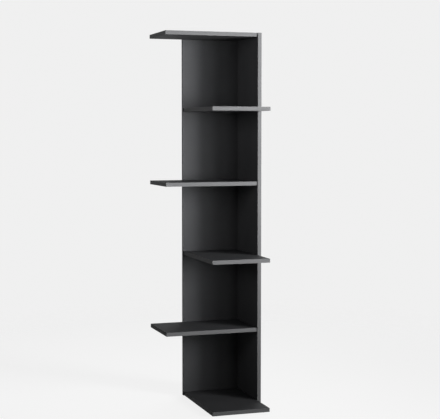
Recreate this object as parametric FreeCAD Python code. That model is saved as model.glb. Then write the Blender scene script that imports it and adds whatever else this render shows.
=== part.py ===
import FreeCAD, Part
import math
import os

from FreeCAD import Vector

# Boards of faced chipboard, in millimetres. All shelves are one size and share the uprights' thickness.
BOARD_THICKNESS = 16.0
SHELF_LENGTH = 391.0  # from the upright to the free end
SHELF_DEPTH = 243.0  # from the upright to the open edge
SHELF_SETBACK = 4.0  # open edge behind the upright's edge, so that a small difference doesn't show
CLEAR_HEIGHT = 288.0  # open height between one shelf and the next
SHELF_COUNT = 6

# Strips glued along the board edges that show, with both outer edges eased.
STRIP_THICKNESS = 1.0
STRIP_EASING = 0.7
STRIP_SIDE_FLAT = 0.2  # least flat left on the strip's side beside its eased edge

# Places of screws and dowels in the joints.
INNER_SETBACK = 64.0  # inner corner to the first screw of a shelf joint
OUTER_SETBACK = 37.0  # open edge to the second screw of a shelf joint
DOWEL_STEP = 32.0  # each dowel of a shelf joint from its screw
UPRIGHT_DOWEL_SETBACK = 48.0  # shelf face to the nearest dowel between the uprights

# Connecting screw with a countersunk socket head. Its thread is a plain cylinder.
SCREW_LENGTH = 50.0
SCREW_HEAD_DIAMETER = 10.0
SCREW_HEAD_RIM = 1.2
SCREW_HEAD_CONE = 1.8
SCREW_HEAD_SINK = 0.3  # head top below the board face
SCREW_SHANK_DIAMETER = 7.0
SCREW_SHANK_LENGTH = 12.0
SCREW_THREAD_DIAMETER = 6.2
SCREW_TIP_DIAMETER = 4.4
SCREW_TIP_LENGTH = 5.0
SCREW_SOCKET_WIDTH = 4.0  # across the flats
SCREW_SOCKET_DEPTH = 2.6
SCREW_END_ROOM = 2.0  # drilled past the screw's tip

# Hardwood dowel.
DOWEL_DIAMETER = 8.0
DOWEL_LENGTH = 30.0
DOWEL_CHAMFER = 1.0
DOWEL_END_ROOM = 1.0  # drilled past each end
DOWEL_COVER = 5.0  # board left outside the blind hole in an upright

# Nail-on glide under the lowest shelf.
GLIDE_HEIGHT = 4.0
GLIDE_DIAMETER = 20.0
GLIDE_DOME = 2.2  # rounding round the foot
GLIDE_INSET = 22.0  # board edge to the nail
NAIL_DIAMETER = 2.0
NAIL_LENGTH = 14.0  # below the head
NAIL_HEAD_DIAMETER = 5.0
NAIL_HEAD_THICKNESS = 0.8
NAIL_HEAD_SINK = 0.8  # head above the floor

FIT = 0.05  # radial clearance of screws, dowels and nails in their holes

# Worked-out sizes. The working origin is the inner corner of the uprights, at the boards' underside.
PITCH = CLEAR_HEIGHT + BOARD_THICKNESS
HEIGHT = CLEAR_HEIGHT * (SHELF_COUNT - 1) + BOARD_THICKNESS * SHELF_COUNT
UPRIGHT_REACH = SHELF_DEPTH + SHELF_SETBACK
MIDDLE = BOARD_THICKNESS / 2
SHELF_FLOORS = [PITCH * step for step in range(SHELF_COUNT)]
SCREW_PLACES = [INNER_SETBACK, SHELF_DEPTH - OUTER_SETBACK]
DOWEL_PLACES = [INNER_SETBACK + DOWEL_STEP, SHELF_DEPTH - OUTER_SETBACK - DOWEL_STEP]
DOWEL_IN_UPRIGHT = BOARD_THICKNESS - DOWEL_COVER - DOWEL_END_ROOM
SCREW_RIM_END = SCREW_HEAD_SINK + SCREW_HEAD_RIM
SCREW_CONE_END = SCREW_RIM_END + SCREW_HEAD_CONE
NAIL_SEAT = NAIL_HEAD_SINK + NAIL_HEAD_THICKNESS
INNER_CORNER = Vector(
    (SHELF_LENGTH - BOARD_THICKNESS) / 2,
    (SHELF_LENGTH - BOARD_THICKNESS) / 2,
    GLIDE_HEIGHT,
)

RIGHT = Vector(1, 0, 0)
LEFT = Vector(-1, 0, 0)
BACK = Vector(0, 1, 0)
FRONT = Vector(0, -1, 0)
UP = Vector(0, 0, 1)


def block(low, high):
    """A box between two opposite corners."""
    size = high - low
    return Part.makeBox(size.x, size.y, size.z, low)


def turned(profile, foot, direction):
    """A solid of revolution from (radius, distance along the axis) pairs, set on foot along direction."""
    points = [Vector(radius, 0, along) for radius, along in profile]
    face = Part.Face(Part.makePolygon(points + points[:1]))
    solid = face.revolve(Vector(0, 0, 0), UP, 360)
    solid.Placement = FreeCAD.Placement(foot, FreeCAD.Rotation(UP, direction))
    return solid


def drilled(solid, holes):
    """The solid with every hole of the list taken out."""
    return solid.cut(holes).removeSplitter()


def edge_strip(start, along, outward, length):
    """A glued edge strip; start is the middle of its glued face at one end."""
    across = along.cross(outward)
    easing = min(STRIP_EASING, STRIP_THICKNESS - STRIP_SIDE_FLAT)
    bulge = easing * (1 - math.sqrt(0.5))

    def corner(depth, side):
        return start + outward * depth + across * side

    glued_low = corner(0, -MIDDLE)
    glued_high = corner(0, MIDDLE)
    side_low = corner(STRIP_THICKNESS - easing, -MIDDLE)
    side_high = corner(STRIP_THICKNESS - easing, MIDDLE)
    face_low = corner(STRIP_THICKNESS, easing - MIDDLE)
    face_high = corner(STRIP_THICKNESS, MIDDLE - easing)
    eased_low = corner(STRIP_THICKNESS - bulge, bulge - MIDDLE)
    eased_high = corner(STRIP_THICKNESS - bulge, MIDDLE - bulge)
    outline = [
        Part.LineSegment(glued_low, side_low),
        Part.Arc(side_low, eased_low, face_low),
        Part.LineSegment(face_low, face_high),
        Part.Arc(face_high, eased_high, side_high),
        Part.LineSegment(side_high, glued_high),
        Part.LineSegment(glued_high, glued_low),
    ]
    wire = Part.Wire([edge.toShape() for edge in outline])
    return Part.Face(wire).extrude(along * length)


# Screws: where each head sits, the way it points, and the holes it needs.


def screw(head, inward):
    """A connecting screw whose head lies just below the board face at head."""
    profile = [
        (0, SCREW_HEAD_SINK),
        (SCREW_HEAD_DIAMETER / 2, SCREW_HEAD_SINK),
        (SCREW_HEAD_DIAMETER / 2, SCREW_RIM_END),
        (SCREW_SHANK_DIAMETER / 2, SCREW_CONE_END),
        (SCREW_SHANK_DIAMETER / 2, SCREW_SHANK_LENGTH),
        (SCREW_THREAD_DIAMETER / 2, SCREW_SHANK_LENGTH),
        (SCREW_THREAD_DIAMETER / 2, SCREW_LENGTH - SCREW_TIP_LENGTH),
        (SCREW_TIP_DIAMETER / 2, SCREW_LENGTH),
        (0, SCREW_LENGTH),
    ]
    return turned(profile, head, inward).cut(screw_socket(head, inward))


def screw_socket(head, inward):
    """The six-sided recess in a screw's head, open at the board face."""
    radius = SCREW_SOCKET_WIDTH / math.sqrt(3)
    corners = [math.radians(60 * step) for step in range(6)]
    points = [Vector(radius * math.cos(turn), radius * math.sin(turn), 0) for turn in corners]
    mouth = Part.Face(Part.makePolygon(points + points[:1]))
    recess = mouth.extrude(UP * (SCREW_HEAD_SINK + SCREW_SOCKET_DEPTH))
    recess.Placement = FreeCAD.Placement(head, FreeCAD.Rotation(UP, inward))
    return recess


def screw_seat(head, inward):
    """The countersunk through hole in an upright, from its outer face."""
    head_radius = SCREW_HEAD_DIAMETER / 2 + FIT
    shank_radius = SCREW_SHANK_DIAMETER / 2 + FIT
    profile = [
        (0, 0),
        (head_radius, 0),
        (head_radius, SCREW_RIM_END),
        (shank_radius, SCREW_CONE_END),
        (shank_radius, BOARD_THICKNESS),
        (0, BOARD_THICKNESS),
    ]
    return turned(profile, head, inward)


def screw_pilot(mouth, inward):
    """The blind hole that takes the thread, in the edge that is pulled up to an upright."""
    depth = SCREW_LENGTH - BOARD_THICKNESS + SCREW_END_ROOM
    return Part.makeCylinder(SCREW_THREAD_DIAMETER / 2 + FIT, depth, mouth, inward)


# Dowels: each lies a third in an upright and the rest in the edge that butts on it.


def dowel(mouth, inward):
    """A chamfered dowel through the joint face at mouth."""
    radius = DOWEL_DIAMETER / 2
    profile = [
        (0, 0),
        (radius - DOWEL_CHAMFER, 0),
        (radius, DOWEL_CHAMFER),
        (radius, DOWEL_LENGTH - DOWEL_CHAMFER),
        (radius - DOWEL_CHAMFER, DOWEL_LENGTH),
        (0, DOWEL_LENGTH),
    ]
    return turned(profile, mouth - inward * DOWEL_IN_UPRIGHT, inward)


def dowel_hole_in_upright(mouth, inward):
    """The blind hole in an upright's inner face."""
    depth = DOWEL_IN_UPRIGHT + DOWEL_END_ROOM
    return Part.makeCylinder(DOWEL_DIAMETER / 2 + FIT, depth, mouth, inward * -1)


def dowel_hole_in_edge(mouth, inward):
    """The blind hole in the edge that butts on an upright."""
    depth = DOWEL_LENGTH - DOWEL_IN_UPRIGHT + DOWEL_END_ROOM
    return Part.makeCylinder(DOWEL_DIAMETER / 2 + FIT, depth, mouth, inward)


def on_side_upright(distance, height):
    """A point on the side upright's inner face, with the way its fasteners point."""
    return Vector(0, -distance, height), LEFT


def on_back_upright(distance, height):
    """A point on the back upright's inner face, with the way its fasteners point."""
    return Vector(-distance, 0, height), FRONT


def joint_places(upright, distances, heights):
    """Every joint point on one upright's inner face, as (point, direction) pairs."""
    return [upright(distance, height) for height in heights for distance in distances]


def head_places(places):
    """The same joint points moved out to the upright's outer face."""
    return [(point - inward * BOARD_THICKNESS, inward) for point, inward in places]


shelf_middles = [floor + MIDDLE for floor in SHELF_FLOORS]
clear_floors = [floor + BOARD_THICKNESS for floor in SHELF_FLOORS[:-1]]
corner_screw_heights = [floor + CLEAR_HEIGHT / 2 for floor in clear_floors]
corner_dowel_heights = [
    height
    for floor in clear_floors
    for height in (floor + UPRIGHT_DOWEL_SETBACK, floor + CLEAR_HEIGHT - UPRIGHT_DOWEL_SETBACK)
]
corner_screws = joint_places(on_side_upright, [-MIDDLE], corner_screw_heights)
corner_dowels = joint_places(on_side_upright, [-MIDDLE], corner_dowel_heights)


def shelf_pieces():
    """One shelf lying on the working plane, long way to the left: its board and three edge strips."""
    board = block(
        Vector(STRIP_THICKNESS - SHELF_LENGTH, STRIP_THICKNESS - SHELF_DEPTH, 0),
        Vector(0, -STRIP_THICKNESS, BOARD_THICKNESS),
    )
    holes = []
    for upright in (on_side_upright, on_back_upright):
        holes += [screw_pilot(*place) for place in joint_places(upright, SCREW_PLACES, [MIDDLE])]
        holes += [dowel_hole_in_edge(*place) for place in joint_places(upright, DOWEL_PLACES, [MIDDLE])]
    wall_strip = edge_strip(Vector(-SHELF_LENGTH, -STRIP_THICKNESS, MIDDLE), RIGHT, BACK, SHELF_LENGTH)
    open_strip = edge_strip(
        Vector(-SHELF_LENGTH, STRIP_THICKNESS - SHELF_DEPTH, MIDDLE), RIGHT, FRONT, SHELF_LENGTH
    )
    end_strip = edge_strip(
        Vector(STRIP_THICKNESS - SHELF_LENGTH, STRIP_THICKNESS - SHELF_DEPTH, MIDDLE),
        BACK,
        LEFT,
        SHELF_DEPTH - 2 * STRIP_THICKNESS,
    )
    return {
        "board": drilled(board, holes),
        "wall_edge_strip": drilled(wall_strip, holes),
        "open_edge_strip": open_strip,
        "end_edge_strip": end_strip,
    }


def turned_over(solid):
    """The same piece turned over about the corner's diagonal, so that its long way comes forward."""
    copy = solid.copy()
    copy.rotate(Vector(0, 0, MIDDLE), RIGHT + BACK, 180)
    return copy


def shelf_fasteners(height):
    """The screws and dowels that hold one shelf to both uprights."""
    screws = []
    dowels = []
    for upright in (on_side_upright, on_back_upright):
        screws += [screw(*place) for place in head_places(joint_places(upright, SCREW_PLACES, [height]))]
        dowels += [dowel(*place) for place in joint_places(upright, DOWEL_PLACES, [height])]
    return Part.makeCompound(screws), Part.makeCompound(dowels)


def side_upright():
    """The upright that runs past the back upright's end, with strips on its front, back and top edges."""
    strip = STRIP_THICKNESS
    back_edge = BOARD_THICKNESS - strip
    front_edge = strip - UPRIGHT_REACH
    top_edge = HEIGHT - strip
    board = block(Vector(0, front_edge, 0), Vector(BOARD_THICKNESS, back_edge, top_edge))
    screws = joint_places(on_side_upright, SCREW_PLACES, shelf_middles) + corner_screws
    dowels = joint_places(on_side_upright, DOWEL_PLACES, shelf_middles) + corner_dowels
    holes = [screw_seat(*place) for place in head_places(screws)]
    holes += [dowel_hole_in_upright(*place) for place in dowels]
    return {
        "side_upright": drilled(board, holes),
        "side_upright_front_strip": edge_strip(Vector(MIDDLE, front_edge, 0), UP, FRONT, HEIGHT),
        "side_upright_back_strip": edge_strip(Vector(MIDDLE, back_edge, 0), UP, BACK, HEIGHT),
        "side_upright_top_strip": edge_strip(
            Vector(MIDDLE, front_edge, top_edge), BACK, UP, back_edge - front_edge
        ),
    }


def back_upright():
    """The upright that butts on the side upright, with strips on its free side and top edges."""
    strip = STRIP_THICKNESS
    side_edge = strip - UPRIGHT_REACH
    top_edge = HEIGHT - strip
    board = block(Vector(side_edge, 0, 0), Vector(0, BOARD_THICKNESS, top_edge))
    screws = joint_places(on_back_upright, SCREW_PLACES, shelf_middles)
    dowels = joint_places(on_back_upright, DOWEL_PLACES, shelf_middles)
    holes = [screw_seat(*place) for place in head_places(screws)]
    holes += [dowel_hole_in_upright(*place) for place in dowels]
    holes += [screw_pilot(*place) for place in corner_screws]
    holes += [dowel_hole_in_edge(*place) for place in corner_dowels]
    return {
        "back_upright": drilled(board, holes),
        "back_upright_side_strip": edge_strip(Vector(side_edge, MIDDLE, 0), UP, LEFT, HEIGHT),
        "back_upright_top_strip": edge_strip(Vector(side_edge, MIDDLE, top_edge), RIGHT, UP, -side_edge),
    }


# Glides: four under the lowest shelf, whose long way comes forward.


def glide_places():
    """The nails' places on the lowest shelf's underside."""
    across = (-GLIDE_INSET, GLIDE_INSET - SHELF_DEPTH)
    along = (-GLIDE_INSET, GLIDE_INSET - SHELF_LENGTH)
    return [Vector(x, y, 0) for x in across for y in along]


def glide(place):
    """A round foot with a rounded rim and a recess for the nail's head."""
    radius = GLIDE_DIAMETER / 2
    shaft = NAIL_DIAMETER / 2 + FIT
    recess = NAIL_HEAD_DIAMETER / 2 + FIT
    bulge = GLIDE_DOME * (1 - math.sqrt(0.5))
    profile = [
        (recess, 0),
        (radius - GLIDE_DOME, 0),
        (radius - bulge, bulge),
        (radius, GLIDE_DOME),
        (radius, GLIDE_HEIGHT),
        (shaft, GLIDE_HEIGHT),
        (shaft, NAIL_SEAT),
        (recess, NAIL_SEAT),
    ]
    return turned(profile, place - UP * GLIDE_HEIGHT, UP)


def nail(place):
    """The nail that holds a glide, head down."""
    head_radius = NAIL_HEAD_DIAMETER / 2
    shaft_radius = NAIL_DIAMETER / 2
    profile = [
        (0, NAIL_HEAD_SINK),
        (head_radius, NAIL_HEAD_SINK),
        (head_radius, NAIL_SEAT),
        (shaft_radius, NAIL_SEAT),
        (shaft_radius, NAIL_SEAT + NAIL_LENGTH - NAIL_DIAMETER),
        (0, NAIL_SEAT + NAIL_LENGTH),
    ]
    return turned(profile, place - UP * GLIDE_HEIGHT, UP)


def nail_hole(place):
    """The hole that a glide's nail fills in the lowest shelf."""
    depth = NAIL_SEAT + NAIL_LENGTH - GLIDE_HEIGHT
    return Part.makeCylinder(NAIL_DIAMETER / 2 + FIT, depth, place, UP)


# Assembly: shelves from the floor up, the lowest one and every second one above it turned forward.
nodes = {}
nodes.update(side_upright())
nodes.update(back_upright())
for step, floor in enumerate(SHELF_FLOORS):
    name = f"shelf_{step + 1}"
    for piece, solid in shelf_pieces().items():
        placed = turned_over(solid) if step % 2 == 0 else solid
        nodes[f"{name}_{piece}"] = placed.translated(UP * floor)
    screws, dowels = shelf_fasteners(floor + MIDDLE)
    nodes[f"{name}_screws"] = screws
    nodes[f"{name}_dowels"] = dowels
nodes["shelf_1_board"] = drilled(nodes["shelf_1_board"], [nail_hole(place) for place in glide_places()])
nodes["corner_screws"] = Part.makeCompound([screw(*place) for place in head_places(corner_screws)])
nodes["corner_dowels"] = Part.makeCompound([dowel(*place) for place in corner_dowels])
nodes["floor_glides"] = Part.makeCompound([glide(place) for place in glide_places()])
nodes["glide_nails"] = Part.makeCompound([nail(place) for place in glide_places()])

os.makedirs("parts", exist_ok=True)
for name, shape in nodes.items():
    shape.translated(INNER_CORNER).exportStep(f"parts/{name}.step")
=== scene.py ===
import math

import bpy
import numpy as np
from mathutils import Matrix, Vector


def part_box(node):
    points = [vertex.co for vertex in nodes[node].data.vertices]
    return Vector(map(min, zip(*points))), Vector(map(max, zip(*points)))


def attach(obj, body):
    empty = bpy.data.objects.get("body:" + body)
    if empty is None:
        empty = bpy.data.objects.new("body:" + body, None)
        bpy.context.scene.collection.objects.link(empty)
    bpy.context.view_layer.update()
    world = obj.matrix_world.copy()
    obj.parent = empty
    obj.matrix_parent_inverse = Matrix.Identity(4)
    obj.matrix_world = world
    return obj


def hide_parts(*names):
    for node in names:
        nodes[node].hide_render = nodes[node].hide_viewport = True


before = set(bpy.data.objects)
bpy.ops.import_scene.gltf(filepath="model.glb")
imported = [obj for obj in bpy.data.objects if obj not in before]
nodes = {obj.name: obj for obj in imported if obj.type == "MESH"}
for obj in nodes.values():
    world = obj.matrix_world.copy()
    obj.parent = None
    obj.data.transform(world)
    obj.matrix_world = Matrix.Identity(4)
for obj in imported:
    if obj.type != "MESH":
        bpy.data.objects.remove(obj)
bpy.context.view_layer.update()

# Boards
# The two uprights and the six shelves are cut from 16 mm chipboard, faced on both sides with anthracite
# melamine paper that is pressed with a fine pearl grain. The uprights' lower ends are left raw.
ANTHRACITE_DARK = (0.053, 0.054, 0.057, 1)
ANTHRACITE_LIGHT = (0.065, 0.066, 0.069, 1)
FACE_REFLECTION = 0.03
FACE_ROUGHNESS = (0.66, 0.74)
TONE_DRIFT = 0.22
WIPE_WIDTH = 0.04
WIPE_STRETCH = 3.5
PEARL_SIZE = 0.0011
PEARL_HEIGHT = 0.00006
# The pearl grain's high spots are painted towards this lighter tone: a painted highlight.
PEARL_PAINTED_HIGHLIGHT = (0.105, 0.106, 0.110, 1)
PEARL_HIGHLIGHT_COVER = 0.5
PEARL_TOPS = (0.56, 0.74)
RAW_END_MARGIN = 0.0005
RAW_END_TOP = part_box("side_upright")[0][2] + RAW_END_MARGIN
RAW_ROUGHNESS = 0.9
CHIP_SIZE = 0.0022
CHIP_DARK = (0.16, 0.09, 0.045, 1)
CHIP_LIGHT = (0.52, 0.36, 0.21, 1)


def add(tree, kind, inputs=None, **settings):
    """Adds one shader node; an input given as a socket is linked, and any other value is set."""
    made = tree.nodes.new("ShaderNode" + kind)
    for name, value in settings.items():
        setattr(made, name, value)
    for name, value in (inputs or {}).items():
        if isinstance(value, bpy.types.NodeSocket):
            tree.links.new(value, made.inputs[name])
        else:
            made.inputs[name].default_value = value
    return made


def finish_of(name, **constants):
    """A new material: its node tree, its shader with the constants set, and the Object coordinates."""
    material = bpy.data.materials.new(name)
    material.use_nodes = True
    tree = material.node_tree
    shader = tree.nodes["Principled BSDF"]
    for socket, value in constants.items():
        shader.inputs[socket.replace("_", " ")].default_value = value
    place = add(tree, "TexCoord").outputs["Object"]
    return material, tree, shader, place


def connect(tree, shader, **sockets):
    """Links the worked-out tone, gloss and bump to the shader."""
    for socket, value in sockets.items():
        tree.links.new(value, shader.inputs[socket.replace("_", " ")])


def mottle(tree, place, size, detail=2.0):
    """Cloudy noise whose patches are about that size in metres."""
    return add(tree, "TexNoise", {"Vector": place, "Scale": 1 / size, "Detail": detail}).outputs["Fac"]


def stretched(tree, place, scale):
    """The same coordinates, drawn out along the axes whose scale is below 1."""
    return add(tree, "Mapping", {"Vector": place, "Scale": scale}).outputs["Vector"]


def between(tree, factor, low, high, start=0.3, end=0.7):
    """A colour that goes from low to high as the factor goes from start to end."""
    ramp = add(tree, "ValToRGB", {"Fac": factor})
    first, last = ramp.color_ramp.elements
    first.position, first.color = start, low
    last.position, last.color = end, high
    return ramp.outputs["Color"]


def spread(tree, factor, low, high, start=0.25, end=0.75):
    """A number that goes from low to high as the factor goes from start to end, and stays there."""
    inputs = {"Value": factor, "From Min": start, "From Max": end, "To Min": low, "To Max": high}
    return add(tree, "MapRange", inputs).outputs["Result"]


def reckon(tree, operation, first, second):
    """One sum of two numbers."""
    return add(tree, "Math", {0: first, 1: second}, operation=operation).outputs["Value"]


def over(tree, cover, under, upper):
    """The under colour, covered by the upper one where the cover is 1. Sockets 6, 7 and 2 hold colours."""
    return add(tree, "Mix", {0: cover, 6: under, 7: upper}, data_type="RGBA").outputs[2]


def raised(tree, height, strength, distance):
    """A bump from a height, as a normal for the shader."""
    inputs = {"Height": height, "Strength": strength, "Distance": distance}
    return add(tree, "Bump", inputs).outputs["Normal"]


def melamine(name, raw_end):
    """Anthracite melamine: a slow drift of tone, wipe marks in the gloss and a pearl grain in the bump,
    whose high spots carry a painted highlight in the tone. With a raw end, whatever looks down below
    RAW_END_TOP shows the chips of the core, one tone a cell."""
    material, tree, shader, place = finish_of(name, Specular_IOR_Level=FACE_REFLECTION)
    tone = between(tree, mottle(tree, place, TONE_DRIFT, detail=4.0), ANTHRACITE_DARK, ANTHRACITE_LIGHT)
    pearl = mottle(tree, place, PEARL_SIZE)
    # Painted highlight: the pearl grain's high spots are painted lighter.
    tone = over(tree, spread(tree, pearl, 0.0, PEARL_HIGHLIGHT_COVER, *PEARL_TOPS), tone, PEARL_PAINTED_HIGHLIGHT)
    wipes = stretched(tree, place, (1.0, 1.0, 1 / WIPE_STRETCH))
    gloss = spread(tree, mottle(tree, wipes, WIPE_WIDTH, detail=5.0), *FACE_ROUGHNESS)
    if raw_end:
        height = add(tree, "SeparateXYZ", {"Vector": place}).outputs["Z"]
        facing = add(tree, "SeparateXYZ", {"Vector": add(tree, "TexCoord").outputs["Normal"]}).outputs["Z"]
        low = reckon(tree, "LESS_THAN", height, RAW_END_TOP)
        raw = reckon(tree, "MULTIPLY", low, reckon(tree, "LESS_THAN", facing, -0.5))
        cells = add(tree, "TexVoronoi", {"Vector": place, "Scale": 1 / CHIP_SIZE}).outputs["Color"]
        tone = over(tree, raw, tone, between(tree, cells, CHIP_DARK, CHIP_LIGHT))
        gloss = reckon(tree, "MAXIMUM", gloss, reckon(tree, "MULTIPLY", raw, RAW_ROUGHNESS))
    grain = raised(tree, pearl, strength=0.6, distance=PEARL_HEIGHT)
    connect(tree, shader, Base_Color=tone, Roughness=gloss, Normal=grain)
    return material


def wear_finish(name, material):
    """Gives a CAD node that material alone."""
    nodes[name].data.materials.clear()
    nodes[name].data.materials.append(material)


shelf_face = melamine("anthracite_melamine", raw_end=False)
upright_face = melamine("anthracite_melamine_raw_end", raw_end=True)
for name in nodes:
    if name.endswith("_board"):
        wear_finish(name, shelf_face)
wear_finish("side_upright", upright_face)
wear_finish("back_upright", upright_face)

# Edge strips
# Each edge that shows wears a 1 mm plastic strip, glued on hot, trimmed flush and eased along both
# corners. It is a lighter grey than the boards' faces. Handling has made its eased corners smoother in
# places, and they are painted lighter: partly wear, partly a painted highlight.
STRIP_DARK = (0.110, 0.111, 0.114, 1)
STRIP_LIGHT = (0.122, 0.123, 0.126, 1)
# The eased corners are painted towards this lighter tone, partly as wear and partly as a painted highlight.
STRIP_WEAR_AND_HIGHLIGHT = (0.165, 0.165, 0.169, 1)
STRIP_REFLECTION = 0.02
STRIP_ROUGHNESS = (0.55, 0.63)
STRIP_DRIFT = 0.15
STREAK_WIDTH = 0.006
DRAW_LINE = 0.0012
DRAW_HEIGHT = 0.00003
DRAW_STRETCH = 50.0
WEAR_AND_HIGHLIGHT_PATCH = 0.03
WORN_POLISH = 0.15


def eased(tree):
    """1 on a strip's rounded corners, whose normal lies along no axis, and 0 on its flats: the largest of
    the normal's three shares is 1 on a flat and 0.71 in the middle of a corner."""
    normal = add(tree, "TexCoord").outputs["Normal"]
    shares = add(tree, "VectorMath", {0: normal}, operation="ABSOLUTE").outputs["Vector"]
    x, y, z = add(tree, "SeparateXYZ", {"Vector": shares}).outputs
    largest = reckon(tree, "MAXIMUM", reckon(tree, "MAXIMUM", x, y), z)
    return spread(tree, largest, 0.0, 1.0, start=0.995, end=0.9)


def edging(name, along):
    """Strip plastic: fine draw lines along the strip's run, from a noise stretched along that axis, and
    eased corners that are smoother and painted lighter, more so in patches: partly wear, partly a painted
    highlight."""
    material, tree, shader, place = finish_of(name, Specular_IOR_Level=STRIP_REFLECTION)
    run = [1.0, 1.0, 1.0]
    run[along] = 1 / DRAW_STRETCH
    drawn = stretched(tree, place, run)
    tone = between(tree, mottle(tree, place, STRIP_DRIFT, detail=3.0), STRIP_DARK, STRIP_LIGHT)
    gloss = spread(tree, mottle(tree, drawn, STREAK_WIDTH, detail=3.0), *STRIP_ROUGHNESS)
    patches = spread(tree, mottle(tree, place, WEAR_AND_HIGHLIGHT_PATCH, detail=4.0), 0.1, 1.0, start=0.4, end=0.6)
    # The eased corners are painted lighter, more in patches: partly wear, partly a painted highlight.
    wear_and_highlight = reckon(tree, "MULTIPLY", eased(tree), patches)
    tone = over(tree, wear_and_highlight, tone, STRIP_WEAR_AND_HIGHLIGHT)
    gloss = reckon(tree, "SUBTRACT", gloss, reckon(tree, "MULTIPLY", wear_and_highlight, WORN_POLISH))
    lines = raised(tree, mottle(tree, drawn, DRAW_LINE, detail=3.0), strength=0.4, distance=DRAW_HEIGHT)
    connect(tree, shader, Base_Color=tone, Roughness=gloss, Normal=lines)
    return material


edgings = [edging("edging_" + axis, i) for i, axis in enumerate("xyz")]
for name in nodes:
    if name.endswith("_strip"):
        low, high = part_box(name)
        wear_finish(name, edgings[max(range(3), key=lambda i: high[i] - low[i])])

# Dowels
# Fluted beech dowels, 8 x 30 mm with chamfered ends, are glued into each joint and keep the shelf from
# turning. The flutes let the air and the spare glue out.
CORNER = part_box("side_upright")[0][0]
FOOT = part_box("shelf_1_board")[0][2]
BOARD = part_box("shelf_1_board")[1][2] - FOOT
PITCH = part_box("shelf_2_board")[0][2] - FOOT
CLEAR_HEIGHT = PITCH - BOARD
SHELF_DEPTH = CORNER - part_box("shelf_2_open_edge_strip")[0][1]
SHELVES = sum(name.endswith("_board") for name in nodes)
INNER_SETBACK = 0.064
OUTER_SETBACK = 0.037
DOWEL_STEP = 0.032
UPRIGHT_DOWEL_SETBACK = 0.048
SHELF_DOWELS = np.array([INNER_SETBACK + DOWEL_STEP, SHELF_DEPTH - OUTER_SETBACK - DOWEL_STEP])
CORNER_DOWELS = np.array([UPRIGHT_DOWEL_SETBACK, CLEAR_HEIGHT - UPRIGHT_DOWEL_SETBACK])
DOWEL_RADIUS = 0.004
DOWEL_LENGTH = 0.030
DOWEL_IN_UPRIGHT = 0.010
DOWEL_CHAMFER = 0.001
FLUTES = 16
FLUTE_DEPTH = 0.0003
STEPS_PER_FLUTE = 6
BEECH_DARK = (0.42, 0.25, 0.13, 1)
BEECH_LIGHT = (0.62, 0.42, 0.25, 1)
BEECH_FLECK = 0.0012
BEECH_HEIGHT = 0.00005


def shelf_joints(step, distances):
    """Where one shelf's fasteners cross the uprights' inner faces, at those distances from the inner corner,
    and the way they point: to the left out of the side upright and forward out of the back upright."""
    same = np.full(len(distances), CORNER)
    height = np.full(len(distances), FOOT + PITCH * step + BOARD / 2)
    from_side = np.stack([same, CORNER - distances, height], axis=-1)
    from_back = np.stack([CORNER - distances, same, height], axis=-1)
    inward = np.repeat([[-1.0, 0.0, 0.0], [0.0, -1.0, 0.0]], len(distances), axis=0)
    return np.vstack([from_side, from_back]), inward


def corner_joints(heights):
    """The same for the fasteners from the side upright into the back upright's edge, at those heights above
    each shelf but the top one."""
    floors = FOOT + BOARD + PITCH * np.arange(SHELVES - 1)
    height = (floors[:, None] + heights).ravel()
    across = np.full(len(height), CORNER)
    places = np.stack([across, across + BOARD / 2, height], axis=-1)
    return places, np.tile([-1.0, 0.0, 0.0], (len(height), 1))


def round_axis(places, inward, along, radius, turn):
    """Points round each fastener's axis, at place + along * inward + radius * (cos turn * across + sin turn
    * up), where across is the level direction square to the axis."""
    across = np.cross([0.0, 0.0, 1.0], inward)
    level = across[:, None, None] * (radius * np.cos(turn))[..., None]
    rise = np.array([0.0, 0.0, 1.0]) * (radius * np.sin(turn))[..., None]
    return places[:, None, None] + inward[:, None, None] * along[..., None] + level + rise


def skin(name, rows):
    """A piece from grids of points, one grid a fastener: each row closes round, quads join row to row, and
    a flat face closes each end."""
    index = np.arange(rows[..., 0].size).reshape(rows.shape[:3])
    onward = np.roll(index, -1, axis=2)
    sides = np.stack([index[:, :-1], onward[:, :-1], onward[:, 1:], index[:, 1:]], axis=-1).reshape(-1, 4)
    ends = np.vstack([index[:, 0, ::-1], index[:, -1]])
    mesh = bpy.data.meshes.new(name)
    mesh.from_pydata(rows.reshape(-1, 3).tolist(), [], sides.tolist() + ends.tolist())
    piece = bpy.data.objects.new(name, mesh)
    bpy.context.scene.collection.objects.link(piece)
    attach(piece, "root")
    return piece


def beech(name):
    """Beech: pale brown with short darker flecks that also raise the surface a little."""
    material, tree, shader, place = finish_of(name, Roughness=0.6)
    flecks = mottle(tree, place, BEECH_FLECK, detail=6.0)
    tone = between(tree, flecks, BEECH_DARK, BEECH_LIGHT)
    connect(tree, shader, Base_Color=tone, Normal=raised(tree, flecks, strength=0.3, distance=BEECH_HEIGHT))
    return material


def fluted_dowels(name, places, inward):
    """Dowels whose radius dips by FLUTE_DEPTH * (1 - cos(FLUTES * turn)) / 2 between the two chamfers."""
    turn = np.linspace(0, 2 * np.pi, STEPS_PER_FLUTE * FLUTES, endpoint=False)
    dip = FLUTE_DEPTH * (1 - np.cos(FLUTES * turn)) / 2
    along = np.array([0.0, DOWEL_CHAMFER, DOWEL_LENGTH - DOWEL_CHAMFER, DOWEL_LENGTH]) - DOWEL_IN_UPRIGHT
    radius = DOWEL_RADIUS - np.array([DOWEL_CHAMFER, 0, 0, DOWEL_CHAMFER])
    fluted = np.array([0.0, 1.0, 1.0, 0.0])
    along, turn = np.meshgrid(along, turn, indexing="ij")
    return skin(name, round_axis(places, inward, along, radius[:, None] - fluted[:, None] * dip, turn))


beech_wood = beech("beech_wood")
dowel_joints = {f"shelf_{step + 1}": shelf_joints(step, SHELF_DOWELS) for step in range(SHELVES)}
dowel_joints["corner"] = corner_joints(CORNER_DOWELS)
for joint, (places, inward) in dowel_joints.items():
    wear_finish(joint + "_dowels", beech_wood)
    piece = fluted_dowels(joint + "_fluted_dowels", places, inward)
    piece.data.materials.append(beech_wood)
    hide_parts(joint + "_dowels")

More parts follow.
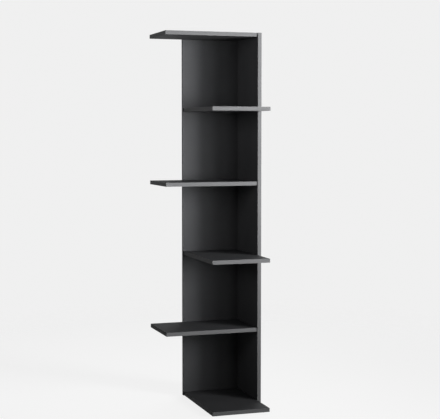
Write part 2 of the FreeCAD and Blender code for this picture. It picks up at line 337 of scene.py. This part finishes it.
# Connecting screws
# Countersunk 7 x 50 mm screws with a hexagon socket go through the uprights into the shelves' edges
# and into the back upright's edge. They are of steel, plated with zinc, with a coarse rolled thread.
SHELF_SCREWS = np.array([INNER_SETBACK, SHELF_DEPTH - OUTER_SETBACK])
CORNER_SCREWS = np.array([CLEAR_HEIGHT / 2])
SCREW_LENGTH = 0.050
SHANK_LENGTH = 0.012
TIP_LENGTH = 0.005
CORE_RADIUS = 0.0031
TIP_RADIUS = 0.0022
TIP_END = SCREW_LENGTH - BOARD
TIP_START = TIP_END - TIP_LENGTH
THREAD_LEAD_IN = 0.0015
THREAD_LEAD_OUT = 0.0025
THREAD_START = SHANK_LENGTH - BOARD + THREAD_LEAD_IN
THREAD_END = TIP_END - THREAD_LEAD_OUT
THREAD_PITCH = 0.003
THREAD_HEIGHT = 0.0005
THREAD_ROOT = 0.0002
THREAD_HALF_WIDTH = 0.0007
THREAD_FAINTEST = 0.05
STEPS_PER_TURN = 20
ZINC_DARK = (0.28, 0.275, 0.265, 1)
ZINC_LIGHT = (0.38, 0.375, 0.36, 1)
ZINC_ROUGHNESS = (0.55, 0.72)
PLATING_DRIFT = 0.004
PLATING_MOTTLE = 0.0015


def plated(name, roughness):
    """Plated steel: a slow drift of tone and uneven gloss, as barrel plating leaves it."""
    material, tree, shader, place = finish_of(name, Metallic=1.0)
    tone = between(tree, mottle(tree, place, PLATING_DRIFT, detail=4.0), ZINC_DARK, ZINC_LIGHT)
    gloss = spread(tree, mottle(tree, place, PLATING_MOTTLE, detail=3.0), *roughness)
    connect(tree, shader, Base_Color=tone, Roughness=gloss)
    return material


def threads(name, places, inward):
    """A ridge of three-cornered section carried along a helix round each screw's core: along the axis it
    gains THREAD_PITCH a turn, it follows the core's taper at the tip, and it rises over its first half turn
    and falls over its last one."""
    turns = (THREAD_END - THREAD_START) / THREAD_PITCH
    path = np.linspace(0, 1, int(turns * STEPS_PER_TURN) + 1)[:, None]
    rise = np.clip(2 * turns * np.minimum(path, 1 - path), THREAD_FAINTEST, 1)
    middle = THREAD_START + (THREAD_END - THREAD_START) * path
    core = np.interp(middle, [TIP_START, TIP_END], [CORE_RADIUS, TIP_RADIUS])
    radius = np.hstack([core - THREAD_ROOT, core + THREAD_HEIGHT * rise, core - THREAD_ROOT])
    along = middle + THREAD_HALF_WIDTH * rise * np.array([1.0, 0.0, -1.0])
    turn = np.repeat(2 * np.pi * turns * path, 3, axis=1)
    return skin(name, round_axis(places, inward, along, radius, turn))


zinc = plated("zinc_plate", ZINC_ROUGHNESS)
screw_joints = {f"shelf_{step + 1}": shelf_joints(step, SHELF_SCREWS) for step in range(SHELVES)}
screw_joints["corner"] = corner_joints(CORNER_SCREWS)
for joint, (places, inward) in screw_joints.items():
    wear_finish(joint + "_screws", zinc)
    piece = threads(joint + "_screw_threads", places, inward)
    piece.data.materials.append(zinc)

# Floor glides and their nails
# Four domed black plastic glides are nailed on under the lowest shelf and carry the unit 4 mm clear
# of the floor. Each has one bright steel nail through its middle.
GLIDE_DARK = (0.012, 0.012, 0.012, 1)
GLIDE_LIGHT = (0.022, 0.022, 0.022, 1)
GLIDE_ROUGHNESS = (0.42, 0.55)
GLIDE_CLOUD = 0.006
GLIDE_MOTTLE = 0.003
SPARK_SIZE = 0.0004
SPARK_HEIGHT = 0.00003
NAIL_ROUGHNESS = (0.2, 0.35)


def glide_plastic(name):
    """Moulded black plastic: a fine spark grain in the bump and slightly uneven gloss."""
    material, tree, shader, place = finish_of(name)
    tone = between(tree, mottle(tree, place, GLIDE_CLOUD, detail=3.0), GLIDE_DARK, GLIDE_LIGHT)
    gloss = spread(tree, mottle(tree, place, GLIDE_MOTTLE, detail=3.0), *GLIDE_ROUGHNESS)
    grain = raised(tree, mottle(tree, place, SPARK_SIZE), strength=0.4, distance=SPARK_HEIGHT)
    connect(tree, shader, Base_Color=tone, Roughness=gloss, Normal=grain)
    return material


wear_finish("floor_glides", glide_plastic("glide_plastic"))
wear_finish("glide_nails", plated("bright_nail", NAIL_ROUGHNESS))

# Studio
# The unit stands on a pale floor that fades into a pale surround. A soft lamp in front and to the right
# gives most of the light, two weaker ones carry it round to the front, and the rest fill the other sides.
FLOOR_RADIUS = 3.0
FLOOR_CLEAR = 1.6
FLOOR_GREY = (0.18, 0.18, 0.18, 1)
FLOOR_GLOW = 0.84
WHITE = (1, 1, 1, 1)
SURROUND_PALE = (0.87, 0.87, 0.87, 1)
SURROUND_ABOVE = (0.15, 0.15, 0.15, 1)
PALE_BELOW = math.radians(12)
DARK_OVER = math.radians(30)
SURROUND_FILL = 0.10
LAMP_SPREAD = math.radians(65)
VIEW_TURN = math.radians(18.607)
VIEW_TIP = math.radians(3.852)
EYE = (-1.4787, -4.5217, 1.1373)
LENS = 94.685


def disc(name, radius, rings, sectors):
    """A flat disc on the floor: x = r cos t, y = r sin t, z = 0, on a grid of r and t."""
    r = np.linspace(0, radius, rings + 1)[1:]
    t = np.linspace(0, 2 * np.pi, sectors, endpoint=False)
    ring = np.stack([np.outer(r, np.cos(t)), np.outer(r, np.sin(t)), np.zeros((rings, sectors))], axis=-1)
    places = np.vstack([[[0, 0, 0]], ring.reshape(-1, 3)])
    index = 1 + np.arange(rings * sectors).reshape(rings, sectors)
    onward = np.roll(index, -1, axis=1)
    middle = np.stack([np.zeros(sectors, int), index[0], onward[0]], axis=-1)
    outer = np.stack([index[:-1], index[1:], onward[1:], onward[:-1]], axis=-1).reshape(-1, 4)
    mesh = bpy.data.meshes.new(name)
    mesh.from_pydata(places.tolist(), [], middle.tolist() + outer.tolist())
    laid = bpy.data.objects.new(name, mesh)
    bpy.context.scene.collection.objects.link(laid)
    return laid


def seen_directly(tree):
    """1 for what the eye, a reflection or a clear pane shows, and 0 for the light that falls on the unit."""
    path = add(tree, "LightPath").outputs
    shown = reckon(tree, "ADD", path["Is Camera Ray"], path["Is Glossy Ray"])
    both = {0: shown, 1: path["Is Transmission Ray"]}
    return add(tree, "Math", both, operation="ADD", use_clamp=True).outputs["Value"]


def fading(tree, value, none, full):
    """A smooth step from 0 at the first value to 1 at the second."""
    inputs = {"Value": value, "From Min": none, "From Max": full}
    return add(tree, "MapRange", inputs, interpolation_type="SMOOTHSTEP").outputs["Result"]


floor = disc("floor", FLOOR_RADIUS, rings=12, sectors=64)
floor_paint, tree, shader, place = finish_of(
    "floor_paint", Base_Color=FLOOR_GREY, Roughness=0.9, Specular_IOR_Level=0.0, Emission_Color=WHITE
)
connect(tree, shader, Emission_Strength=reckon(tree, "MULTIPLY", seen_directly(tree), FLOOR_GLOW))
outward = add(tree, "VectorMath", {0: place}, operation="LENGTH").outputs["Value"]
gone = fading(tree, outward, FLOOR_CLEAR, FLOOR_RADIUS)
clear = add(tree, "BsdfTransparent").outputs["BSDF"]
mix = add(tree, "MixShader", {0: gone, 1: shader.outputs["BSDF"], 2: clear})
tree.links.new(mix.outputs["Shader"], tree.nodes["Material Output"].inputs["Surface"])
floor.data.materials.append(floor_paint)

surround = bpy.data.worlds.new("surround")
bpy.context.scene.world = surround
surround.use_nodes = True
tree = surround.node_tree
upward = add(tree, "SeparateXYZ", {"Vector": add(tree, "TexCoord").outputs["Generated"]}).outputs["Z"]
backdrop = fading(tree, upward, math.sin(DARK_OVER), math.sin(PALE_BELOW))
paint = between(tree, backdrop, SURROUND_ABOVE, SURROUND_PALE, start=0, end=1)
tree.links.new(paint, tree.nodes["Background"].inputs["Color"])
strength = spread(tree, seen_directly(tree), SURROUND_FILL, 1.0, start=0.0, end=1.0)
tree.links.new(strength, tree.nodes["Background"].inputs["Strength"])


def softbox(name, width, height, watts, place, aim):
    """A rectangular soft lamp at a place, turned to face the point that it is aimed at."""
    lamp = bpy.data.lights.new(name, "AREA")
    lamp.shape = "RECTANGLE"
    lamp.size = width
    lamp.size_y = height
    lamp.energy = watts
    lamp.spread = LAMP_SPREAD
    holder = bpy.data.objects.new(name, lamp)
    holder.location = place
    holder.rotation_euler = (Vector(aim) - Vector(place)).to_track_quat("-Z", "Y").to_euler()
    bpy.context.scene.collection.objects.link(holder)


softbox("key", width=0.8, height=1.3, watts=30.5, place=(2.05, -2.19, 1.22), aim=(0, 0, 1.43))
softbox("half_front", width=0.9, height=1.3, watts=6.8, place=(1.50, -2.60, 1.22), aim=(0, 0, 1.4))
softbox("front", width=0.6, height=1.3, watts=1.5, place=(0.58, -2.94, 1.1), aim=(0, 0, 1.2))
softbox("left", width=1.0, height=1.0, watts=2.6, place=(-2.3, -1.5, 1.6), aim=(0, 0, 1.55))
softbox("above", width=2.0, height=2.0, watts=0.6, place=(0.2, -0.3, 3.4), aim=(0, 0, 0))
softbox("behind", width=2.2, height=2.2, watts=10, place=(1.8, 2.2, 1.3), aim=(0, 0, 0.8))

camera = bpy.data.cameras.new("camera")
camera.lens = LENS
camera_holder = bpy.data.objects.new("camera", camera)
camera_holder.location = EYE
camera_holder.rotation_euler = (math.pi / 2 - VIEW_TIP, 0, -VIEW_TURN)
bpy.context.scene.collection.objects.link(camera_holder)
bpy.context.scene.camera = camera_holder
bpy.context.scene.view_settings.view_transform = "Standard"
